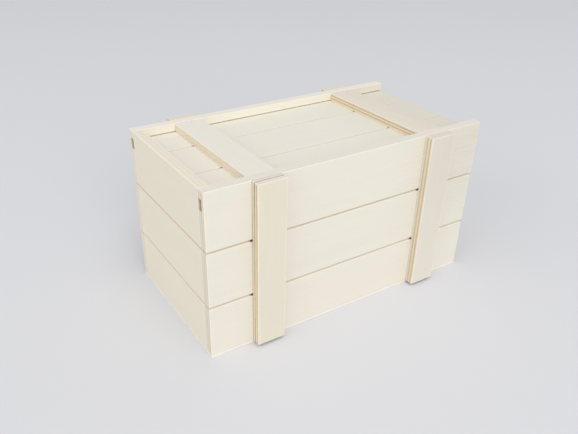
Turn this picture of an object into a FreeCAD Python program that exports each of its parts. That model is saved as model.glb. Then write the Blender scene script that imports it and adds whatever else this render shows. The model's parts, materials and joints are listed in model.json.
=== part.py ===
"""Crate-style plywood box with a sliding lid, empty and unpainted.

Two long walls run the full length and overlap the ends of two end walls.  V-grooves cut round
the outside imitate three boards, one above the other.  A thin panel under the walls is the
bottom.  Upright battens stand on the long walls, and two cross battens lie on the lid in line
with them.  The lid slides in channels cut in the long walls and the closed end, and leaves over
the lower wall at the open end.  Brads driven from inside and from below hold the battens and
the bottom, so that no head shows outside.  The corners are glued.

Millimetres.  +X runs along the box towards the open end, +Y towards the back, +Z up.  The
origin is the middle of the footprint, on the surface that the box stands on.
"""

import FreeCAD
import Part

import os

Vec = FreeCAD.Vector

# Driving dimensions: overall sizes and stock
LENGTH = 300.0
WALL_WIDTH = 156.0  # over the long walls, without their battens
HEIGHT = 164.0
PLY = 9.5  # walls, lid and upright battens
LID_BATTEN_PLY = 8.0
BOTTOM_PLY = 3.0
BATTEN_WIDTH = 28.0
BATTEN_X = {"left": -93.5, "right": 92.0}  # centre lines, nailed by eye

# Imitation boards
BOARD = 55.0  # pitch of the V-grooves on walls and lid
WALL_GROOVE = {"width": 2.6, "depth": 2.2}
LID_GROOVE = {"width": 1.5, "depth": 1.1}

# Sliding lid and its channel
CHANNEL_TOP = 7.9  # from the rim down to the channel
CHANNEL_HEIGHT = 10.1
CHANNEL_DEPTH = 5.5  # in the long walls
END_CHANNEL_DEPTH = 2.5  # in the closed end
LID_END_GAP = 0.5
LID_SIDE_GAP = 0.5

# Brads
WIRE_R = 0.6
HEAD_R = 1.0
HEAD_T = 0.8
HOLE_GAP = 0.02  # radial room between a brad and its hole
HEAD_RECESS = 0.2
WALL_BRAD = 16.0
LID_BRAD = 14.0
BOTTOM_BRAD = 18.0
BRAD_PAIR = 14.0  # the two brads of a pair, across a batten
LONG_WALL_BRADS_X = [-130.0, -65.0, 0.0, 65.0, 130.0]
END_WALL_BRADS_Y = [-34.0, 34.0]

# Worked out from the above
HALF_L = LENGTH / 2
HALF_W = WALL_WIDTH / 2
INNER_W = HALF_W - PLY
CHANNEL_Z1 = HEIGHT - CHANNEL_TOP
CHANNEL_Z0 = CHANNEL_Z1 - CHANNEL_HEIGHT
LID_Z1 = CHANNEL_Z0 + PLY
LID_X0 = -HALF_L + PLY - END_CHANNEL_DEPTH + LID_END_GAP
LID_HALF_W = INNER_W + CHANNEL_DEPTH - LID_SIDE_GAP
SIDES = {"front": -1, "back": 1}
WALL_GROOVES_Z = [HEIGHT - 2 * BOARD, HEIGHT - BOARD]
LID_GROOVES_Y = [-BOARD / 2, BOARD / 2]
WALL_BRADS_Z = [BOARD / 2, BOARD * 1.5, BOARD * 2.3]  # the top pair stays below the channel
LID_BRADS_Y = [-0.9 * BOARD, 0.0, 0.9 * BOARD]
PAST = 1.0  # how far a cutter runs past the wood


def block(x0, x1, y0, y1, z0, z1):
    """A box between two corners."""
    return Part.makeBox(x1 - x0, y1 - y0, z1 - z0, Vec(x0, y0, z0))


def v_cutter(start, along, out, width, depth):
    """A V-shaped cutter: its line on the surface begins at start and runs along, open to out."""
    flare = (depth + PAST) / depth
    side = along.cross(out).normalize() * (width / 2 * flare)
    root = start - out * depth
    mouth = start + out * PAST
    profile = Part.makePolygon([root, mouth + side, mouth - side, root])
    return Part.Face(profile).extrude(along)


def wall_groove_cutters():
    """The V-grooves round the outside of the four walls, one ring at each board joint."""
    along_x = Vec(LENGTH + 2 * PAST, 0, 0)
    along_y = Vec(0, WALL_WIDTH + 2 * PAST, 0)
    cutters = []
    for z in WALL_GROOVES_Z:
        for sign in (-1, 1):
            long_side = Vec(-HALF_L - PAST, sign * HALF_W, z)
            end = Vec(sign * HALF_L, -HALF_W - PAST, z)
            cutters.append(v_cutter(long_side, along_x, Vec(0, sign, 0), **WALL_GROOVE))
            cutters.append(v_cutter(end, along_y, Vec(sign, 0, 0), **WALL_GROOVE))
    return cutters


def brad(head, into, length, grow=0.0):
    """A wire nail with the top of its head at head, pointing into the wood."""
    shank = Part.makeCylinder(WIRE_R + grow, length, head, into)
    cap = Part.makeCylinder(HEAD_R + grow, HEAD_T + grow, head, into)
    return shank.fuse(cap).removeSplitter()


def brad_hole(head, into, length):
    """The room that a brad takes, open at the surface above its head."""
    mouth_depth = HEAD_RECESS + PAST
    mouth = Part.makeCylinder(HEAD_R + HOLE_GAP, mouth_depth, head - into * mouth_depth, into)
    return brad(head, into, length + HOLE_GAP, HOLE_GAP).fuse(mouth).removeSplitter()


def upright_brad_places(sign, x):
    """Heads on the inside of a long wall, a pair behind one batten at each board."""
    y = sign * (INNER_W + HEAD_RECESS)
    return [
        (Vec(x + dx, y, z), Vec(0, sign, 0), WALL_BRAD)
        for dx in (-BRAD_PAIR / 2, BRAD_PAIR / 2)
        for z in WALL_BRADS_Z
    ]


def lid_brad_places(x):
    """Heads under the lid, a pair below one cross batten at each board."""
    return [
        (Vec(x + dx, y, CHANNEL_Z0 + HEAD_RECESS), Vec(0, 0, 1), LID_BRAD)
        for dx in (-BRAD_PAIR / 2, BRAD_PAIR / 2)
        for y in LID_BRADS_Y
    ]


def bottom_brad_places():
    """Heads under the bottom panel, on the centre lines of the walls above it."""
    long_walls = [(x, sign * (HALF_W - PLY / 2)) for sign in (-1, 1) for x in LONG_WALL_BRADS_X]
    end_walls = [(sign * (HALF_L - PLY / 2), y) for sign in (-1, 1) for y in END_WALL_BRADS_Y]
    return [(Vec(x, y, HEAD_RECESS), Vec(0, 0, 1), BOTTOM_BRAD) for x, y in long_walls + end_walls]


def brads(places):
    """A group of separate brads."""
    return Part.makeCompound([brad(*place) for place in places])


def holes(places):
    """The holes for a group of brads."""
    return [brad_hole(*place) for place in places]


def long_wall(sign):
    """A full-length wall with the lid's channel inside and the V-grooves outside."""
    y0, y1 = sorted((sign * INNER_W, sign * HALF_W))
    wall = block(-HALF_L, HALF_L, y0, y1, BOTTOM_PLY, HEIGHT)
    c0, c1 = sorted((sign * (INNER_W - PAST), sign * (INNER_W + CHANNEL_DEPTH)))
    channel = block(-HALF_L - PAST, HALF_L + PAST, c0, c1, CHANNEL_Z0, CHANNEL_Z1)
    return wall.cut([channel] + wall_groove_cutters())


def closed_end_wall():
    """The full-height end, with a channel that takes the lid's end."""
    x1 = -HALF_L + PLY
    wall = block(-HALF_L, x1, -INNER_W, INNER_W, BOTTOM_PLY, HEIGHT)
    channel = block(x1 - END_CHANNEL_DEPTH, x1 + PAST, -HALF_W, HALF_W, CHANNEL_Z0, CHANNEL_Z1)
    return wall.cut([channel] + wall_groove_cutters())


def open_end_wall():
    """The lower end, level with the floor of the channels, that the lid slides out over."""
    wall = block(HALF_L - PLY, HALF_L, -INNER_W, INNER_W, BOTTOM_PLY, CHANNEL_Z0)
    return wall.cut(wall_groove_cutters())


def bottom_panel():
    """The thin sheet under all four walls."""
    return block(-HALF_L, HALF_L, -HALF_W, HALF_W, 0, BOTTOM_PLY)


def upright_batten(sign, x):
    """A batten on the outside of a long wall, from the bottom panel's top to the rim."""
    y0, y1 = sorted((sign * HALF_W, sign * (HALF_W + PLY)))
    return block(x - BATTEN_WIDTH / 2, x + BATTEN_WIDTH / 2, y0, y1, BOTTOM_PLY, HEIGHT)


def lid_panel():
    """The sliding panel, with V-grooves along its top."""
    panel = block(LID_X0, HALF_L, -LID_HALF_W, LID_HALF_W, CHANNEL_Z0, LID_Z1)
    along = Vec(LENGTH + 2 * PAST, 0, 0)
    starts = [Vec(-HALF_L - PAST, y, LID_Z1) for y in LID_GROOVES_Y]
    return panel.cut([v_cutter(start, along, Vec(0, 0, 1), **LID_GROOVE) for start in starts])


def lid_batten(x):
    """A cross batten on the lid, between the long walls and just under the rim."""
    half_y = INNER_W - LID_SIDE_GAP
    x0, x1 = x - BATTEN_WIDTH / 2, x + BATTEN_WIDTH / 2
    return block(x0, x1, -half_y, half_y, LID_Z1, LID_Z1 + LID_BATTEN_PLY)


def export(name, shape):
    """Writes one node's solids, and says how big they are."""
    solids = shape.Solids
    assert solids and all(s.isValid() and s.Volume > 0 for s in solids), name
    out = solids[0] if len(solids) == 1 else Part.makeCompound(solids)
    out.exportStep(f"parts/{name}.step")
    print(f"{name}: {len(solids)} solid(s), {out.Volume / 1000:.2f} cm3")


def main():
    os.makedirs("parts", exist_ok=True)

    bottom_places = bottom_brad_places()
    bottom_holes = holes(bottom_places)
    export("bottom_panel", bottom_panel().cut(bottom_holes))
    export("bottom_brads", brads(bottom_places))
    export("closed_end_wall", closed_end_wall().cut(bottom_holes))
    export("open_end_wall", open_end_wall().cut(bottom_holes))

    for side, sign in SIDES.items():
        wall = long_wall(sign).cut(bottom_holes)
        for end, x in BATTEN_X.items():
            places = upright_brad_places(sign, x)
            wall = wall.cut(holes(places))
            export(f"{side}_batten_{end}", upright_batten(sign, x).cut(holes(places)))
            export(f"{side}_batten_{end}_brads", brads(places))
        export(f"{side}_wall", wall)

    lid = lid_panel()
    for end, x in BATTEN_X.items():
        places = lid_brad_places(x)
        lid = lid.cut(holes(places))
        export(f"lid_batten_{end}", lid_batten(x).cut(holes(places)))
        export(f"lid_batten_{end}_brads", brads(places))
    export("lid_panel", lid)


main()
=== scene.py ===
import json
import math
from typing import NamedTuple

import bmesh
import bpy
from mathutils import Matrix, Vector

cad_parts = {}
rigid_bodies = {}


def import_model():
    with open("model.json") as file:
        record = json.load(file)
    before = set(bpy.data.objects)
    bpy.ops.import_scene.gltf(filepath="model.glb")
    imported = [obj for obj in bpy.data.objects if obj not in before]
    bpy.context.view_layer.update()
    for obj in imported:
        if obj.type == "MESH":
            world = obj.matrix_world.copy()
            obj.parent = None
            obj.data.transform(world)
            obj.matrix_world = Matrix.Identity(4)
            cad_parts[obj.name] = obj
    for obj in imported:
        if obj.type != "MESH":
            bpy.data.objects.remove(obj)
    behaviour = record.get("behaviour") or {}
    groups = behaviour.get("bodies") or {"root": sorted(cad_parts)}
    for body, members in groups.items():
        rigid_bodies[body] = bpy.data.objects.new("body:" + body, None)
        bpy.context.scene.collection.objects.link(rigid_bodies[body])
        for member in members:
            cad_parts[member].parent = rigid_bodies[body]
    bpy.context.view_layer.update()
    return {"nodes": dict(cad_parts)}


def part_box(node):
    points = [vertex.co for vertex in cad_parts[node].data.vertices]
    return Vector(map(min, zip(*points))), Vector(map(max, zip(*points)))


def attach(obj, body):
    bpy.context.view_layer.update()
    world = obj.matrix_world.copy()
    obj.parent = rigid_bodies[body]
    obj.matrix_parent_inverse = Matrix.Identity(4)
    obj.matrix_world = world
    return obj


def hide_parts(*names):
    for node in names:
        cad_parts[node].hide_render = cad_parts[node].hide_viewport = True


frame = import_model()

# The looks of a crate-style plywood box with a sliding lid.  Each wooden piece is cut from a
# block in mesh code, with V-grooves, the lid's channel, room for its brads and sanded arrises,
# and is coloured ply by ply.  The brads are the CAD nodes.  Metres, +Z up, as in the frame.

MM = 0.001
X, Y, Z = 0, 1, 2

# Sanded arrises
ARRIS = 0.35 * MM
ARRIS_STEPS = 3
FLAT = math.radians(1)  # faces that meet at less than this are one face
ARRIS_ANGLE = math.radians(30)  # edges at more than this are arrises
SHARP = math.radians(40)  # edges at more than this stay sharp in the shading
SAME_PLACE = 0.001 * MM  # vertices closer than this are one

# V-grooves between the imitation boards
BOARD = 55 * MM
WALL_GROOVE = (2.6 * MM, 2.2 * MM)  # width and depth
LID_GROOVE = (1.5 * MM, 1.1 * MM)

# Channel for the lid, below the rim
CHANNEL_TOP = 7.9 * MM
CHANNEL_DEPTH = 5.5 * MM  # in the long walls
END_CHANNEL_DEPTH = 2.5 * MM  # in the closed end

# A ply of the front left batten gapes at the rim, and closes lower down
SPLIT_LENGTH = 22 * MM
SPLIT_WIDTH = 0.65 * MM
SPLIT_AT = 0.42  # from the wall to the batten's face
PARTING_ABOVE = 65 * MM  # it shows as a dark line above this height on the batten
PARTING_BELOW = 28 * MM  # and below this one

PAST = 2 * MM  # how far a cutter runs past the wood

# Brad holes: each is a profile of revolution, as (depth below the head's top, radius)
BRAD_HOLE = ((-1.2, 1.15), (-0.2, 1.15), (0.0, 1.03), (0.82, 1.03), (0.82, 0.62))
BRAD_HOLE_SIDES = 20

# The cross plies of a sheet lie between these shares of the way from its middle plane to its face
FIVE_PLIES = (0.22, 0.55)
THREE_PLIES = (-1.0, 0.40)  # the middle ply is a cross ply, and has no inner side

# Where each piece's grain is read from in the noise
SEEDS = {
    "front_wall": 1, "back_wall": 3, "front_batten_left": 4, "back_batten_left": 6,
    "front_batten_right": 6, "back_batten_right": 8, "closed_end_wall": 9, "open_end_wall": 10,
    "bottom_panel": 11, "lid_panel": 12, "lid_batten_left": 14, "lid_batten_right": 16,
}

# Camera
CAMERA_AT = Vector((-0.3230, -0.4526, 0.3713))
CAMERA_AZIMUTH = 32.28
CAMERA_ELEVATION = 30.91
CAMERA_ROLL = 0.68
CAMERA_LENS = 38.0
CAMERA_SHIFT = (0.026, 0.0346)

LEFT, RIGHT = "left", "right"
SIDES = {"front": -1, "back": 1}
CUTTER = "cutter"  # the start of every cutter's name


# ---------------------------------------------------------------- mesh work

def to_object(name, bm):
    """A new object from a bmesh."""
    bmesh.ops.recalc_face_normals(bm, faces=bm.faces)
    mesh = bpy.data.meshes.new(name)
    bm.to_mesh(mesh)
    bm.free()
    piece = bpy.data.objects.new(name, mesh)
    bpy.context.scene.collection.objects.link(piece)
    return piece


def span(*points):
    """The box that holds all these points, as its low and high corners."""
    return [Vector([pick(point[i] for point in points) for i in range(3)]) for pick in (min, max)]


def block(name, low, high):
    """A block of stock between two corners."""
    bm = bmesh.new()
    bmesh.ops.create_cube(bm, size=1)
    for vert in bm.verts:
        vert.co = [low[i] if vert.co[i] < 0 else high[i] for i in range(3)]
    return to_object(name, bm)


def skin(bm, rings, closed=False):
    """Adds a skin over rings of points.  It comes round to the first ring, or has two end caps."""
    loops = [[bm.verts.new(point) for point in ring] for ring in rings]
    pairs = list(zip(loops, loops[1:]))
    if closed:
        pairs.append((loops[-1], loops[0]))
    for a, b in pairs:
        for i in range(len(a)):
            j = (i + 1) % len(a)
            bm.faces.new((a[i], a[j], b[j], b[i]))
    if not closed:
        bm.faces.new(loops[0])
        bm.faces.new(loops[-1])


def cutter(*skins, closed=False):
    """A cutter made of one or more separate skins."""
    bm = bmesh.new()
    for rings in skins:
        skin(bm, rings, closed)
    return to_object(CUTTER, bm)


def half_mouth(groove):
    """Half the width of a groove's cutter at its mouth, which is outside the wood."""
    width, depth = groove
    return width / 2 * (depth + PAST) / depth


def groove_ring(low, high, z):
    """A cutter for one V-groove round the four walls, mitred at the corners."""
    half = Vector((0, 0, half_mouth(WALL_GROOVE)))
    rings = []
    for sx, sy in ((-1, -1), (1, -1), (1, 1), (-1, 1)):
        corner = Vector((high.x if sx > 0 else low.x, high.y if sy > 0 else low.y, z))
        out = Vector((sx, sy, 0))
        mouth = corner + out * PAST
        rings.append([corner - out * WALL_GROOVE[1], mouth + half, mouth - half])
    return cutter(rings, closed=True)


def groove_along_lid(low, high, y):
    """A cutter for one V-groove along the top of the lid."""
    half = Vector((0, half_mouth(LID_GROOVE), 0))
    rings = []
    for x in (low.x - PAST, high.x + PAST):
        root = Vector((x, y, high.z - LID_GROOVE[1]))
        mouth = Vector((x, y, high.z + PAST))
        rings.append([root, mouth + half, mouth - half])
    return cutter(rings)


def islands(bm):
    """The places of the vertices of each separate part of a mesh."""
    unseen = set(bm.verts)
    while unseen:
        stack = [unseen.pop()]
        places = []
        while stack:
            vert = stack.pop()
            places.append(vert.co.copy())
            for edge in vert.link_edges:
                other = edge.other_vert(vert)
                if other in unseen:
                    unseen.remove(other)
                    stack.append(other)
        yield places


def brad_axis(places):
    """(top of the head, direction, length) of the brad that has these vertices."""
    low, high = span(*places)
    middle, size = (low + high) / 2, high - low
    axis = max(range(3), key=lambda i: size[i])
    widest = max(places, key=lambda place: (place - middle).length)
    into = Vector((0, 0, 0))
    into[axis] = -1 if widest[axis] > middle[axis] else 1
    return middle - into * size[axis] / 2, into, size[axis]


def brad_axes(node):
    """The axes of all the brads in a CAD node, in a set order."""
    bm = bmesh.new()
    bm.from_mesh(frame["nodes"][node].data)
    bmesh.ops.remove_doubles(bm, verts=bm.verts, dist=SAME_PLACE)
    found = [brad_axis(places) for places in islands(bm)]
    bm.free()
    return sorted(found, key=lambda brad: tuple(brad[0]))


def brad_hole(head, into, length):
    """The rings of one brad's hole."""
    side = Vector((into.y, into.z, into.x))
    turn = Matrix((side, into.cross(side), into)).transposed()
    profile = [(depth * MM, radius * MM) for depth, radius in BRAD_HOLE]
    profile.append((length, profile[-1][1]))
    angles = [2 * math.pi * k / BRAD_HOLE_SIDES for k in range(BRAD_HOLE_SIDES)]
    spokes = [Vector((math.cos(angle), math.sin(angle), 0)) for angle in angles]
    return [
        [head + turn @ (spoke * radius + Vector((0, 0, depth))) for spoke in spokes]
        for depth, radius in profile
    ]


def brad_cutter(*nodes):
    """One cutter with a hole for every brad of these CAD nodes."""
    return cutter(*(brad_hole(*brad) for node in nodes for brad in brad_axes(node)))


def settle(piece):
    """Makes a piece's modifiers permanent."""
    graph = bpy.context.evaluated_depsgraph_get()
    mesh = bpy.data.meshes.new_from_object(piece.evaluated_get(graph))
    piece.modifiers.clear()
    old = piece.data
    piece.data = mesh
    bpy.data.meshes.remove(old)


def cut(piece, cutters):
    """Takes the cutters' shapes out of a piece."""
    for shape in cutters:
        modifier = piece.modifiers.new("cut", "BOOLEAN")
        modifier.object = shape
        modifier.solver = "EXACT"
    settle(piece)


def soften(piece):
    """Rounds every arris a little, as sanding does."""
    bm = bmesh.new()
    bm.from_mesh(piece.data)
    bmesh.ops.remove_doubles(bm, verts=bm.verts, dist=SAME_PLACE)
    bmesh.ops.dissolve_limit(bm, angle_limit=FLAT, verts=bm.verts, edges=bm.edges)
    arrises = [edge for edge in bm.edges if edge.calc_face_angle(0) > ARRIS_ANGLE]
    bmesh.ops.bevel(
        bm, geom=arrises, offset=ARRIS, segments=ARRIS_STEPS, profile=0.5, affect="EDGES",
        clamp_overlap=True,
    )
    bm.to_mesh(piece.data)
    bm.free()


def shade(piece):
    """Smooth over the arrises, flat on the faces."""
    for face in piece.data.polygons:
        face.use_smooth = True
    piece.data.set_sharp_from_angle(angle=SHARP)
    weighted = piece.modifiers.new("weighted_normals", "WEIGHTED_NORMAL")
    weighted.keep_sharp = True


# ---------------------------------------------------------------- materials

class Nodes:
    """Short names for building a node tree."""

    def __init__(self, name):
        self.material = bpy.data.materials.new(name)
        self.material.use_nodes = True
        self.tree = self.material.node_tree
        self.shader = self.tree.nodes["Principled BSDF"]

    def add(self, kind, **settings):
        node = self.tree.nodes.new(kind)
        for key, value in settings.items():
            setattr(node, key, value)
        return node

    def put(self, value, socket):
        """Links a socket, or sets a plain value."""
        if isinstance(value, bpy.types.NodeSocket):
            self.tree.links.new(value, socket)
        else:
            socket.default_value = value

    def math(self, operation, *values):
        node = self.add("ShaderNodeMath", operation=operation)
        for value, socket in zip(values, node.inputs):
            self.put(value, socket)
        return node.outputs[0]

    def clamp_ramp(self, value, start, end, low=0.0, high=1.0):
        """low before start, high after end, smooth between."""
        node = self.add("ShaderNodeMapRange", interpolation_type="SMOOTHSTEP")
        for key, entry in (
            ("Value", value), ("From Min", start), ("From Max", end), ("To Min", low), ("To Max", high)
        ):
            self.put(entry, node.inputs[key])
        return node.outputs[0]

    def mix(self, factor, a, b):
        """A colour between a and b."""
        node = self.add("ShaderNodeMix", data_type="RGBA")
        self.put(factor, node.inputs[0])
        self.put(a, node.inputs[6])
        self.put(b, node.inputs[7])
        return node.outputs[2]

    def blend(self, factor, a, b):
        """A number between a and b."""
        node = self.add("ShaderNodeMix", data_type="FLOAT")
        self.put(factor, node.inputs[0])
        self.put(a, node.inputs[2])
        self.put(b, node.inputs[3])
        return node.outputs[0]

    def vector(self, x, y, z):
        node = self.add("ShaderNodeCombineXYZ")
        for value, socket in zip((x, y, z), node.inputs):
            self.put(value, socket)
        return node.outputs[0]

    def noise(self, vector, scale=1.0, detail=2.0, roughness=0.5, distortion=0.0):
        """A noise value about 0.5."""
        node = self.add("ShaderNodeTexNoise")
        self.put(vector, node.inputs["Vector"])
        for key, value in (
            ("Scale", scale), ("Detail", detail), ("Roughness", roughness), ("Distortion", distortion)
        ):
            node.inputs[key].default_value = value
        return node.outputs[0]

    def bump(self, height, strength, distance):
        node = self.add("ShaderNodeBump")
        node.inputs["Strength"].default_value = strength
        node.inputs["Distance"].default_value = distance
        self.put(height, node.inputs["Height"])
        self.put(node.outputs[0], self.shader.inputs["Normal"])


def rgb(red, green, blue):
    return (red, green, blue, 1.0)


# Colours of bare plywood, as linear reflectances: each pair is the pale and the dark of the grain
FACE = ((0.845, 0.800, 0.700), (0.795, 0.745, 0.640))
LONG_EDGE = ((0.87, 0.780, 0.61), (0.82, 0.715, 0.53))  # a ply whose grain runs along the cut edge
END_EDGE = ((0.73, 0.600, 0.40), (0.59, 0.455, 0.27))  # a ply cut across its grain
SANDED_LONG = ((0.82, 0.765, 0.67), (0.79, 0.73, 0.635))
SANDED_END = ((0.80, 0.745, 0.65), (0.77, 0.71, 0.615))
SANDED_RIM = ((0.90, 0.865, 0.79), (0.84, 0.795, 0.71))  # the top of the front left batten
LIT_SIDE = ((0.96, 0.855, 0.66), (0.90, 0.785, 0.59))  # painted light on one batten's side
LID_GROOVE_SHADE = ((0.67, 0.61, 0.51), (0.60, 0.54, 0.44))  # painted shade down in the lid's shallow grooves
ROUTED_AND_SHADE = ((0.62, 0.45, 0.26), (0.46, 0.31, 0.16))  # rubbed brown by the cutter, with painted shade down in the grooves and the channels
SEAM_GLUE_AND_SHADE = ((0.42, 0.32, 0.20), (0.30, 0.22, 0.13))  # glue along a joint, with painted shade where the parts meet
HOLLOW_SHADE = ((0.16, 0.11, 0.06), (0.09, 0.06, 0.03))  # painted shade down in a narrow gap
TUNNEL_SHADE = ((2.4 * MM, 0.5), (1.3 * MM, 0.95))  # how far the painted shade reaches along a groove, and how strong
# Painted highlight along the arrises, with some real paling from sanding
ARRIS_HIGHLIGHT = (0.88, 0.84, 0.75)
# Glue lines between the plies, and painted shade in the voids
GLUE_AND_VOID_SHADE = (0.36, 0.25, 0.14)
# Painted shade for the face veneers, where the light falls off
FALLOFF_SHADE = ((0.735, 0.69, 0.59), (0.695, 0.645, 0.54))

# Sizes of stains
BARE = 0.2 * MM  # clean wood at the mouth of a routed channel
OVERRUN = 0.3 * MM  # how far a routed channel's stain and painted shade run past it
FOOT_SEAM = 0.5 * MM  # how high the glue and painted shade stand over the bottom sheet

# No two sheets are quite the same colour.  The back wall is also painted paler, as painted light that
# bounces off the lid onto its inner face, and the closed end warmer, as painted warm light on that side
WALL_TINTS_AND_LIGHT = {
    "front": (1.01, 1.015, 1.01),
    "back": (1.07, 1.07, 1.06),
    "closed_end": (1.035, 1.02, 0.955),
    "open_end": (1.0, 0.985, 0.96),
}

# out is how far the middle ply lies outwards, as a share of half the thickness
BATTEN_LOOK = {"tint": (0.955, 0.945, 0.935), "out": 0.08, "glue": 0.5}
SPLIT_BATTEN_LOOK = {"tint": (0.97, 0.94, 0.88), "out": 0.18, "glue": 0.9}
LID_BATTEN_LOOKS = {
    LEFT: {"tint": (1.0, 0.995, 1.0), "sanded": 0.5, "glue": 0.6},
    RIGHT: {"tint": (0.99, 0.97, 0.95), "sanded": 0.0},
}


class Stain(NamedTuple):
    """A box of space where the wood is discoloured, or where shade or light is painted on it."""

    low: Vector
    high: Vector
    colours: tuple
    strength: float
    soft: float = 0.1 * MM  # half of what its edge takes to fade out


# Painted shade: the face veneers are painted darker at the open end, towards the rim, where the light
# falls off
FALLOFF_SHADE_BOX = Stain(Vector((90, -200, 85)) * MM, Vector((400, 200, 400)) * MM, FALLOFF_SHADE, 1.0, soft=75 * MM)


class Plywood(Nodes):
    """Bare pale plywood, coloured ply by ply from where a point lies in its piece.

    thick and grain are the axes through the sheet and along its face plies.  lean is how far its
    middle ply lies towards the high side, as a share of half the thickness.  Lengths are in
    millimetres, and masks run from 0 to 1.
    """

    # Scales of the noise in the grain, along it and across it
    BANDS = (0.006, 0.05)
    STREAKS = (0.02, 0.7)
    FIBRES = (0.12, 5.0)

    # How far each kind of waviness moves a ply: scale of its noise, and reach
    WAVES = ((0.03, 0.9), (0.22, 0.35))

    def __init__(self, name, low, high, thick, grain, plies, lean, tint, seed):
        super().__init__(name)
        self.thick, self.grain, self.cross = thick, grain, 3 - thick - grain
        self.plies, self.tint, self.seed = plies, tint, seed
        self.size = (high - low) / MM
        coord = self.add("ShaderNodeTexCoord")
        place = self.add("ShaderNodeSeparateXYZ")
        self.put(coord.outputs["Object"], place.inputs[0])
        self.at = [self.math("DIVIDE", place.outputs[i], MM) for i in range(3)]
        normal = self.add("ShaderNodeSeparateXYZ")
        self.put(coord.outputs["Normal"], normal.inputs[0])
        self.upward = self.clamp_ramp(normal.outputs[Z], 0.6, 0.95)
        self.facing = [self.math("ABSOLUTE", normal.outputs[i]) for i in range(3)]
        self.inset = [self.between(self.at[i], low[i] / MM, high[i] / MM) for i in range(3)]
        self.depth = self.ply_depth((low[thick] + high[thick]) / (2 * MM), lean)
        self.crossing = self.between_mask(self.depth, *plies, soft=0.02)
        self.edge = self.clamp_ramp(self.facing[thick], 0.3, 0.8, 1.0, 0.0)
        self.streaks = self.noise(self.stretched(*self.STREAKS), detail=4, roughness=0.6)
        self.fibres = self.noise(self.stretched(*self.FIBRES), detail=3, roughness=0.65)

    def between(self, value, low, high):
        """How far a value is inside an interval, negative outside it."""
        above = self.math("SUBTRACT", value, low)
        below = self.math("SUBTRACT", high, value)
        return self.math("MINIMUM", above, below)

    def between_mask(self, value, low, high, soft):
        return self.clamp_ramp(self.between(value, low, high), -soft, soft)

    def off_centre(self, value, centre):
        """How far a value is from another."""
        return self.math("ABSOLUTE", self.math("SUBTRACT", value, centre))

    def times(self, *values):
        """The product of several values."""
        product = values[0]
        for value in values[1:]:
            product = self.math("MULTIPLY", product, value)
        return product

    def ply_depth(self, middle, lean):
        """0 in the middle ply and about 1 at the faces, wandering as peeled veneer does."""
        along = self.math("ADD", self.at[self.grain], self.seed * 37)
        place = self.vector(along, self.at[self.cross], self.seed)
        half = self.size[self.thick] / 2
        total = self.math("DIVIDE", self.off_centre(self.at[self.thick], middle + lean * half), half)
        for scale, reach in self.WAVES:
            off = self.math("SUBTRACT", self.noise(place, scale=scale, detail=3), 0.5)
            total = self.math("ADD", total, self.times(off, reach / half))
        return total

    def stretched(self, along, across):
        """A place to read noise from, drawn out along each ply's own grain."""
        u, v = self.at[self.grain], self.at[self.cross]
        through = self.times(self.at[self.thick], across)
        long_way = self.vector(self.times(u, along), self.times(v, across), through)
        cross_way = self.vector(self.times(u, across), self.times(v, along), through)
        both = self.add("ShaderNodeMix", data_type="VECTOR")
        for value, socket in zip((self.crossing, long_way, cross_way), (0, 4, 5)):
            self.put(value, both.inputs[socket])
        moved = self.add("ShaderNodeVectorMath", operation="ADD")
        self.put(both.outputs[1], moved.inputs[0])
        moved.inputs[1].default_value = (self.seed * 13.7, self.seed * 5.3, self.seed * 9.1)
        return moved.outputs[0]

    def tone(self, contrast):
        """How dark the grain is: broad bands, streaks and fibres."""
        bands = self.noise(self.stretched(*self.BANDS), detail=3, roughness=0.55, distortion=0.6)
        total = 0.5
        for layer, weight in ((bands, 0.55), (self.streaks, 0.8), (self.fibres, 0.7)):
            off = self.math("SUBTRACT", layer, 0.5)
            total = self.math("ADD", total, self.times(off, weight * contrast))
        return total

    def shaded(self, tone, pair):
        """A colour between the pale and the dark of a pair."""
        pale, dark = (rgb(*(c * t for c, t in zip(colour, self.tint))) for colour in pair)
        return self.mix(tone, pale, dark)

    def end_grain(self):
        """Where a ply shows the ends of its fibres."""
        facing = self.blend(self.crossing, self.facing[self.grain], self.facing[self.cross])
        return self.clamp_ramp(facing, 0.35, 0.9)

    def glue_lines(self):
        """Thin dark lines between the plies on every cut edge, uneven and broken here and there."""
        off = self.math("MINIMUM", *(self.off_centre(self.depth, ply) for ply in self.plies))
        uneven = self.clamp_ramp(self.noise(self.stretched(0.25, 0.4), detail=3), 0.35, 0.70, 0.06, 0.26)
        width = self.math("DIVIDE", uneven, self.size[self.thick] / 2)
        line = self.clamp_ramp(off, self.times(width, 0.4), width, 1.0, 0.0)
        broken = self.clamp_ramp(self.noise(self.stretched(0.06, 0.3), detail=2), 0.38, 0.60, 0.15, 1.0)
        return self.times(line, broken, self.edge)

    def voids(self):
        """Rare small hollows where a cross ply has a gap, painted dark as their shade."""
        gap = self.clamp_ramp(self.noise(self.stretched(0.35, 0.35), detail=1), 0.755, 0.79)
        return self.times(gap, self.crossing, self.edge)

    def painted_arris_highlight(self):
        """A painted highlight in a narrow band along every arris, with some real paling from sanding,
        ragged like sanded fibres and fainter on an upper side.
        """
        a, b, c = self.inset
        smaller, larger = self.math("MINIMUM", a, b), self.math("MAXIMUM", a, b)
        second = self.math("MAXIMUM", smaller, self.math("MINIMUM", larger, c))
        ragged = self.math("ADD", second, self.times(self.fibres, 0.6))
        band = self.clamp_ramp(ragged, 0.6, self.blend(self.upward, 1.8, 1.1), 1.0, 0.0)
        uneven = self.clamp_ramp(self.noise(self.stretched(0.05, 0.05), detail=2), 0.35, 0.65, 0.5, 0.9)
        return self.times(band, uneven, self.blend(self.upward, 1.0, 0.6))

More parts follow.
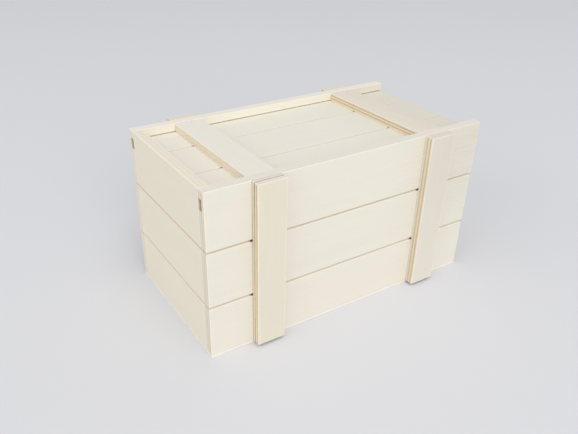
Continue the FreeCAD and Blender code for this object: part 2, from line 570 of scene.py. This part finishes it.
    def stained(self, stain):
        """How strong a stain or a painted shade or light is at each place."""
        low, high, soft = stain.low / MM, stain.high / MM, stain.soft / MM
        inside = (self.between_mask(self.at[i], low[i], high[i], soft) for i in range(3))
        streaky = self.clamp_ramp(self.streaks, 0.3, 0.7, 0.75, 1.0)
        return self.times(stain.strength, *inside, streaky)

    def in_grooves(self, axis, places, groove):
        """Down in the V-grooves, which lie across an axis at these places."""
        width, depth = (length / MM for length in groove)
        off = self.math("MINIMUM", *(self.off_centre(self.at[axis], place / MM) for place in places))
        near = self.clamp_ramp(off, width * 0.46, width * 0.54, 1.0, 0.0)
        down = self.math("MINIMUM", *(self.inset[i] for i in range(3) if i != axis))
        return self.times(near, self.clamp_ramp(down, depth * 0.1, depth * 0.75))


def plywood(
    name, low, high, thick, grain, plies=FIVE_PLIES, lean=0.0, tint=(1, 1, 1), seed=0.0,
    contrast=1.0, sanded=0.2, glue=0.5, grooves=None, burn=0.35, stains=(),
):
    """The finished plywood of one piece.

    contrast is how strong its grain is, sanded how far its edges are sanded pale, and glue how dark
    its glue lines are.  grooves are the axis, places and size of its V-grooves, and burn
    how brown they are and how much painted shade lies in them.
    """
    wood = Plywood(name, low, high, thick, grain, plies, lean, tint, seed)
    tone, end = wood.tone(contrast), wood.end_grain()
    lines = wood.times(wood.glue_lines(), glue)
    pale = wood.math("MAXIMUM", wood.upward, sanded)

    long_edge = wood.mix(pale, wood.shaded(tone, LONG_EDGE), wood.shaded(tone, SANDED_LONG))
    end_edge = wood.mix(pale, wood.shaded(tone, END_EDGE), wood.shaded(tone, SANDED_END))
    cut_edge = wood.mix(end, long_edge, end_edge)
    # Painted shade on the faces towards the open end and the rim
    falloff_shade_mask = wood.stained(FALLOFF_SHADE_BOX)
    face = wood.mix(falloff_shade_mask, wood.shaded(tone, FACE), wood.shaded(tone, FALLOFF_SHADE))
    colour = wood.mix(wood.edge, face, cut_edge)
    colour = wood.mix(lines, colour, rgb(*GLUE_AND_VOID_SHADE))
    # Painted shade in the voids
    colour = wood.mix(wood.times(wood.voids(), 0.7), colour, rgb(*GLUE_AND_VOID_SHADE))
    # Painted highlight along the arrises, fainter where the open end has painted shade
    arris_highlight_mask = wood.times(wood.painted_arris_highlight(), wood.blend(falloff_shade_mask, 1.0, 0.2))
    colour = wood.mix(arris_highlight_mask, colour, rgb(*ARRIS_HIGHLIGHT))
    if grooves:
        # Brown from the cutter, with painted shade that grows deeper down in the V-grooves
        brown_and_shade = wood.times(wood.in_grooves(*grooves), burn)
        colour = wood.mix(brown_and_shade, colour, wood.shaded(tone, ROUTED_AND_SHADE))
    # Stains, and painted shade and light, each over its box
    for stain in stains:
        colour = wood.mix(wood.stained(stain), colour, wood.shaded(tone, stain.colours))
    wood.put(colour, wood.shader.inputs["Base Color"])

    rough = wood.math("ADD", wood.times(wood.fibres, 0.22), 0.52)
    wood.put(wood.math("ADD", rough, wood.times(end, 0.12)), wood.shader.inputs["Roughness"])
    wood.shader.inputs["Specular IOR Level"].default_value = 0.35

    height = wood.times(wood.fibres, wood.blend(wood.edge, 0.035, 0.09))
    height = wood.math("ADD", height, wood.times(wood.streaks, 0.03))
    height = wood.math("SUBTRACT", height, wood.times(lines, 0.2))
    wood.bump(height, strength=0.6, distance=MM)
    return wood.material


def steel(name):
    """Bright drawn wire."""
    n = Nodes(name)
    coord = n.add("ShaderNodeTexCoord")
    fine = n.noise(coord.outputs["Object"], scale=2500, detail=3)
    n.put(n.mix(fine, rgb(0.50, 0.50, 0.52), rgb(0.68, 0.68, 0.69)), n.shader.inputs["Base Color"])
    n.put(n.math("ADD", n.math("MULTIPLY", fine, 0.3), 0.22), n.shader.inputs["Roughness"])
    n.shader.inputs["Metallic"].default_value = 1.0
    n.bump(fine, strength=0.3, distance=0.05 * MM)
    return n.material


# ---------------------------------------------------------------- places from the frame

walls_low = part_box("front_wall")[0].copy()
walls_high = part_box("back_wall")[1].copy()
lid_low, lid_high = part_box("lid_panel")
inner_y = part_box("open_end_wall")[1].y
inner_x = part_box("closed_end_wall")[1].x
channel_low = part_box("open_end_wall")[1].z
channel_high = walls_high.z - CHANNEL_TOP

# In the long walls the channel runs out at the closed end too, and shows there as a slot
long_channel = (
    Vector((walls_low.x - PAST, -inner_y - CHANNEL_DEPTH, channel_low)),
    Vector((walls_high.x + PAST, inner_y + CHANNEL_DEPTH, channel_high)),
)
end_channel = (Vector((inner_x - END_CHANNEL_DEPTH, *long_channel[0].yz)), long_channel[1])

# V-grooves, as the axis across them, their places on it and their size
WALL_GROOVES = (Z, (walls_high.z - 2 * BOARD, walls_high.z - BOARD), WALL_GROOVE)
LID_GROOVES = (Y, (-BOARD / 2, BOARD / 2), LID_GROOVE)


# ---------------------------------------------------------------- stains, painted shade and painted light

def stain_over(points, colours, strength, grow=(0, 0, 0)):
    """A stain over the box that holds these points, grown by so much each way."""
    low, high = span(*points)
    return Stain(low - Vector(grow), high + Vector(grow), colours, strength)


def channel_stain(sign):
    """The routed wood in one long wall, brown and with painted shade: as deep as the channel, and a
    little higher and lower.
    """
    inside = (long_channel[0].x, sign * (inner_y + BARE), channel_low - OVERRUN)
    outside = (long_channel[1].x, sign * (inner_y + CHANNEL_DEPTH + OVERRUN), channel_high + OVERRUN)
    return stain_over((inside, outside), ROUTED_AND_SHADE, 0.75)


def end_channel_stain():
    """The routed wood in the closed end, brown and with painted shade."""
    low = end_channel[0] - Vector((OVERRUN, OVERRUN, OVERRUN))
    high = (inner_x - BARE, inner_y, channel_high + OVERRUN)
    return stain_over((low, high), ROUTED_AND_SHADE, 0.75)


def tunnel_shade(batten, grooves, axis, face, into):
    """Painted shade, with some glue, where V-grooves run under a batten, darkest at its foot.

    face is where the grooved surface lies on an axis, and into which way the wood is from it.
    """
    across, places, (width, depth) = grooves
    stains = []
    for reach, strength in TUNNEL_SHADE:
        low, high = (Vector(corner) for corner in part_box(batten))
        low.x, high.x = low.x - reach, high.x + reach
        low[across], high[across] = places[0] - width, places[1] + width
        low[axis], high[axis] = sorted((face + into * 0.1 * depth, face + into * 2 * depth))
        stains.append(Stain(low, high, HOLLOW_SHADE, strength))
    return stains


def seam_glue_and_shade(batten, sign, reach, strength):
    """A line of glue and painted shade round an upright batten, where it sits on its wall."""
    low, high = (Vector(corner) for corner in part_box(batten))
    low.y, high.y = sorted((sign * walls_high.y, sign * (walls_high.y + reach)))
    return stain_over((low, high), SEAM_GLUE_AND_SHADE, strength, grow=(PAST, 0, PAST))


def rim_stain(batten):
    """The freshly sanded top of an upright batten."""
    low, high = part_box(batten)
    return stain_over(((low.x, low.y, high.z), high), SANDED_RIM, 0.6, grow=(PAST, PAST, 0.8 * MM))


def split_place(batten):
    """Where the split lies in a batten of the front wall, on the axis across the wall."""
    low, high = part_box(batten)
    return high.y + (low.y - high.y) * SPLIT_AT


def split_shade(batten):
    """Painted shade down the hollow of the split, and dark lines where the same ply is starting to come
    away.
    """
    low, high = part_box(batten)
    y = split_place(batten)
    foot = high.z - SPLIT_LENGTH
    grow = (PAST, SPLIT_WIDTH / 2, 0)
    return [
        stain_over(((low.x, y, z0), (high.x, y, z1)), HOLLOW_SHADE, strength, grow)
        for z0, z1, strength in (
            (foot, high.z + PAST, 0.95),
            (low.z + PARTING_ABOVE, foot, 0.45),
            (low.z - PAST, low.z + PARTING_BELOW, 0.45),
        )
    ]


def groove_end_shade():
    """Painted shade at the ends of the front wall's V-grooves, at the open end."""
    reach = 1.5 * MM
    ys = (walls_low.y - PAST, walls_low.y + WALL_GROOVE[1])
    xs = (walls_high.x - reach, walls_high.x + PAST)
    return [
        stain_over(((xs[0], ys[0], z - reach), (xs[1], ys[1], z + reach)), HOLLOW_SHADE, 0.7)
        for z in WALL_GROOVES[1]
    ]


def lid_groove_shade(y):
    """Painted shade down in one of the lid's grooves."""
    width, depth = LID_GROOVE
    low = (lid_low.x - PAST, y - width / 2, lid_high.z - 2 * depth)
    high = (lid_high.x + PAST, y + width / 2, lid_high.z - 0.15 * depth)
    return stain_over((low, high), LID_GROOVE_SHADE, 0.9)


def foot_seam():
    """Glue and painted shade in the joint over the bottom sheet."""
    low = (walls_low.x - PAST, walls_low.y - PAST, walls_low.z - PAST)
    high = (walls_high.x + PAST, walls_high.y + PAST, walls_low.z + FOOT_SEAM)
    return stain_over((low, high), SEAM_GLUE_AND_SHADE, 0.5)


def lit_side(batten):
    """Painted light on the side of a lid batten that looks at the closed end."""
    low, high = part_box(batten)
    grow = Vector((1, 1, 1)) * MM
    return Stain(low - grow, Vector((low.x + 0.3 * MM, high.y, high.z - 0.5 * MM)), LIT_SIDE, 0.6)


# ---------------------------------------------------------------- the wooden pieces

def timber(node, body, slot, cutters=(), late_cutters=(), **look):
    """Makes one wooden piece in the place of its CAD node.  late_cutters leave their edges sharp."""
    low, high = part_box(node)
    piece = block(node + "_wood", low, high)
    if cutters:
        cut(piece, cutters)
    soften(piece)
    if late_cutters:
        cut(piece, late_cutters)
    shade(piece)
    piece.data.materials.clear()
    piece.data.materials.append(plywood(node + "_plywood", low, high, seed=SEEDS[node], **look))
    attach(piece, body)
    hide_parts(node)


def split_cutter(batten):
    """A thin wedge, open at the top, between two plies of a batten on the front wall."""
    low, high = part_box(batten)
    y = split_place(batten)
    gape = Vector((0, SPLIT_WIDTH / 2 * (SPLIT_LENGTH + PAST) / SPLIT_LENGTH, 0))
    rings = []
    for x in (low.x - PAST, high.x + PAST):
        foot = Vector((x, y, high.z - SPLIT_LENGTH))
        mouth = Vector((x, y, high.z + PAST))
        rings.append([foot, mouth + gape, mouth - gape])
    return cutter(rings)


def long_wall(side, rings):
    """A full-length wall, grooved outside and channelled inside."""
    node, sign = f"{side}_wall", SIDES[side]
    battens = [f"{side}_batten_{end}" for end in (LEFT, RIGHT)]
    stains = [channel_stain(sign), foot_seam()]
    if side == "front":
        stains += groove_end_shade()
    for batten in battens:
        stains += tunnel_shade(batten, WALL_GROOVES, Y, sign * walls_high.y, -sign)
    brads = brad_cutter("bottom_brads", *(batten + "_brads" for batten in battens))
    timber(
        node, "box", "wall_plywood", [*rings, block(CUTTER, *long_channel)], [brads],
        thick=Y, grain=X, sanded=0.6, glue=0.3, grooves=WALL_GROOVES, tint=WALL_TINTS_AND_LIGHT[side],
        stains=stains,
    )


def upright_batten(side, end):
    """A batten on a long wall.  A ply of the front left one has split."""
    batten, sign = f"{side}_batten_{end}", SIDES[side]
    late = [brad_cutter(batten + "_brads")]
    if (side, end) == ("front", LEFT):
        late.append(split_cutter(batten))
        stains = [rim_stain(batten), seam_glue_and_shade(batten, sign, 0.9 * MM, 0.85), *split_shade(batten)]
        look = SPLIT_BATTEN_LOOK
    else:
        stains = [seam_glue_and_shade(batten, sign, 0.5 * MM, 0.35)]
        look = BATTEN_LOOK
    timber(
        batten, "box", "batten_plywood", [], late,
        thick=Y, grain=Z, contrast=1.1, lean=sign * look["out"], tint=look["tint"], glue=look["glue"],
        stains=stains,
    )


def end_walls(rings):
    """The closed end, which takes the lid's end, and the lower open end."""
    brads = brad_cutter("bottom_brads")
    both = {"thick": X, "grain": Y, "sanded": 0.4, "glue": 0.3, "grooves": WALL_GROOVES}
    timber(
        "closed_end_wall", "box", "wall_plywood", [*rings, block(CUTTER, *end_channel)], [brads],
        tint=WALL_TINTS_AND_LIGHT["closed_end"], stains=[end_channel_stain(), foot_seam()], burn=0.5, **both,
    )
    timber(
        "open_end_wall", "box", "wall_plywood", rings, [brads],
        tint=WALL_TINTS_AND_LIGHT["open_end"], stains=[foot_seam()], **both,
    )


def bottom():
    """The thin sheet under all four walls."""
    # Its tint is painted light: the sheet is painted paler and whiter than its wood, against the shade
    # along the floor
    timber(
        "bottom_panel", "box", "bottom_plywood", [], [brad_cutter("bottom_brads")],
        thick=Z, grain=X, plies=THREE_PLIES, sanded=1.0, glue=0.2, tint=(1.15, 1.18, 1.26),
    )


def lid():
    """The sliding panel and its two cross battens."""
    battens = {end: f"lid_batten_{end}" for end in (LEFT, RIGHT)}
    grooves = [groove_along_lid(lid_low, lid_high, y) for y in LID_GROOVES[1]]
    stains = [lid_groove_shade(y) for y in LID_GROOVES[1]]
    for batten in battens.values():
        stains += tunnel_shade(batten, LID_GROOVES, Z, lid_high.z, -1)
    brads = brad_cutter(*(batten + "_brads" for batten in battens.values()))
    timber(
        "lid_panel", "lid", "lid_plywood", grooves, [brads],
        thick=Z, grain=X, sanded=0.5, stains=stains,
    )
    for end, batten in battens.items():
        timber(
            batten, "lid", "batten_plywood", [], [brad_cutter(batten + "_brads")],
            thick=Z, grain=Y, contrast=1.4, lean=0.12,
            stains=[lit_side(batten)] if end == LEFT else [], **LID_BATTEN_LOOKS[end],
        )


def woodwork():
    """All the wooden pieces.  The cutters are removed when the last piece is made."""
    rings = [groove_ring(walls_low, walls_high, z) for z in WALL_GROOVES[1]]
    for side in SIDES:
        long_wall(side, rings)
        for end in (LEFT, RIGHT):
            upright_batten(side, end)
    end_walls(rings)
    bottom()
    lid()
    for shape in [piece for piece in bpy.data.objects if piece.name.startswith(CUTTER)]:
        bpy.data.objects.remove(shape)


def steel_brads():
    """The CAD brads, in steel."""
    metal = steel("brad_steel")
    for node, carried in frame["nodes"].items():
        if node.endswith("_brads"):
            carried.data.materials.clear()
            carried.data.materials.append(metal)


# ---------------------------------------------------------------- floor, light and camera

def floor():
    bm = bmesh.new()
    bmesh.ops.create_grid(bm, x_segments=1, y_segments=1, size=4)
    plane = to_object("floor", bm)
    n = Nodes("floor_paper")
    coord = n.add("ShaderNodeTexCoord")
    soft = n.noise(coord.outputs["Object"], scale=3, detail=2)
    n.put(n.mix(soft, rgb(0.712, 0.705, 0.718), rgb(0.727, 0.720, 0.734)), n.shader.inputs["Base Color"])
    n.shader.inputs["Roughness"].default_value = 0.8
    n.shader.inputs["Specular IOR Level"].default_value = 0.2
    plane.data.materials.append(n.material)


def softbox(name, at, size, power):
    """A round soft light that shines at the middle of the box."""
    light = bpy.data.lights.new(name, "AREA")
    light.shape = "DISK"
    light.size = size
    light.energy = power
    lamp = bpy.data.objects.new(name, light)
    lamp.location = at
    aim = (walls_low + walls_high) / 2 - lamp.location
    lamp.rotation_euler = aim.to_track_quat("-Z", "Y").to_euler()
    bpy.context.scene.collection.objects.link(lamp)


def studio():
    scene = bpy.context.scene
    world = bpy.data.worlds.new("studio")
    world.use_nodes = True
    background = world.node_tree.nodes["Background"]
    background.inputs["Color"].default_value = rgb(0.93, 0.96, 1.0)
    background.inputs["Strength"].default_value = 0.60
    scene.world = world
    scene.view_settings.view_transform = "Standard"
    softbox("front", at=(-1.2, -6.0, 3.2), size=4.2, power=143)
    softbox("top", at=(-0.3, -2.0, 6.2), size=5.0, power=113)
    softbox("side", at=(-6.0, -1.0, 2.5), size=5.5, power=90)


def camera():
    data = bpy.data.cameras.new("camera")
    data.sensor_width = 36
    data.lens = CAMERA_LENS
    data.shift_x, data.shift_y = CAMERA_SHIFT
    data.clip_start = 0.01
    view = bpy.data.objects.new("camera", data)
    view.matrix_world = (
        Matrix.Translation(CAMERA_AT)
        @ Matrix.Rotation(math.radians(-CAMERA_AZIMUTH), 4, "Z")
        @ Matrix.Rotation(math.radians(90 - CAMERA_ELEVATION), 4, "X")
        @ Matrix.Rotation(math.radians(CAMERA_ROLL), 4, "Z")
    )
    bpy.context.scene.collection.objects.link(view)
    bpy.context.scene.camera = view


woodwork()
steel_brads()
floor()
studio()
camera()
